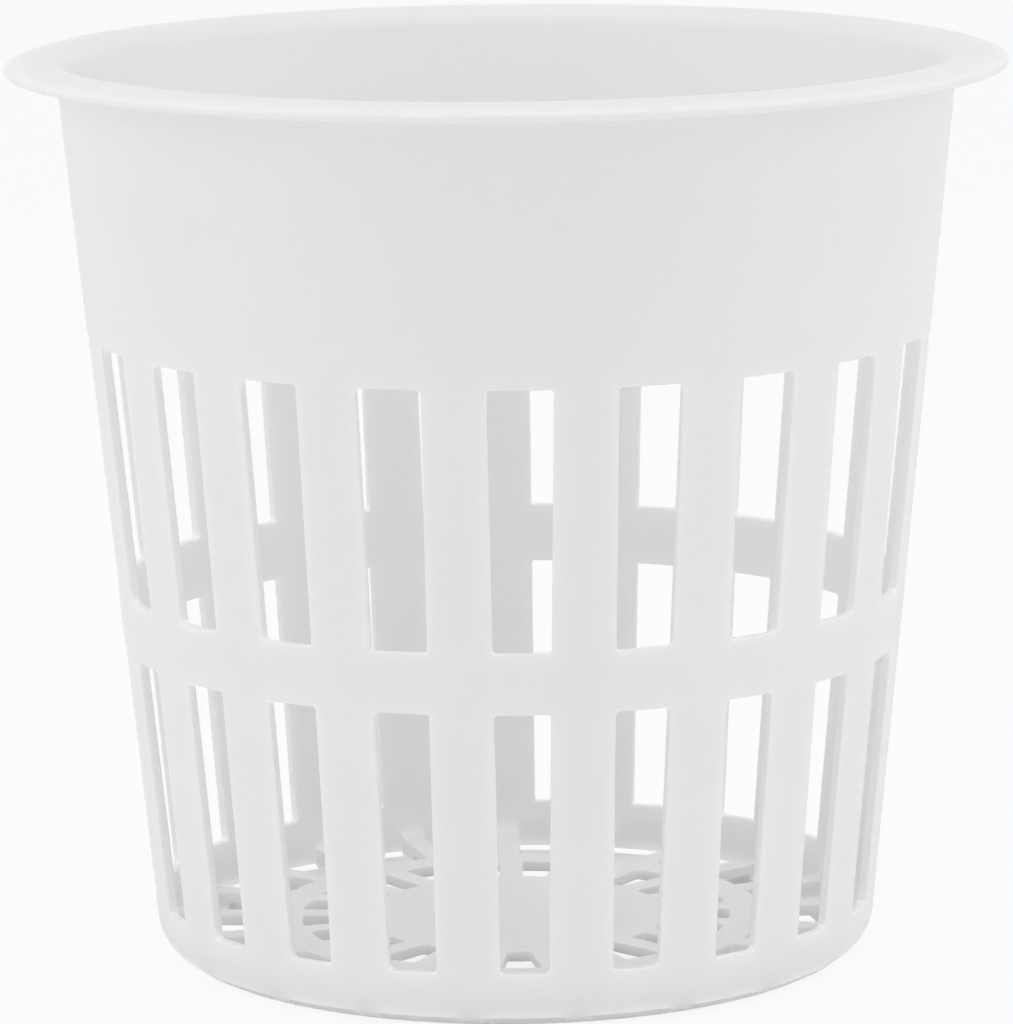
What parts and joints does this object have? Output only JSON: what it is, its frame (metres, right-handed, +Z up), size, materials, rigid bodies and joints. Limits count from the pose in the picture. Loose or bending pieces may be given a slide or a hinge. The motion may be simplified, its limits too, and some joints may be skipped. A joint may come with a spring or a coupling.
{
  "type": "hydroponic net pot",
  "caption": "Tapered plastic net pot with a turned-out lip, slotted side wall and open spoked floor, hung in a lid or tray to hold a plant and its growing medium.",
  "frame": {"origin": "on the pot's axis, in the plane that its foot ring stands on", "axes": "+Z up along the pot's axis, out of the mouth; one upright bar of the slotted wall faces -Y"},
  "size_m": [0.084, 0.084, 0.0768],
  "materials": {
    "white_polypropylene": "satin moulded, slightly translucent white"
  },
  "bodies": {
    "root": {"net_pot": "white_polypropylene"}
  },
  "joints": []
}
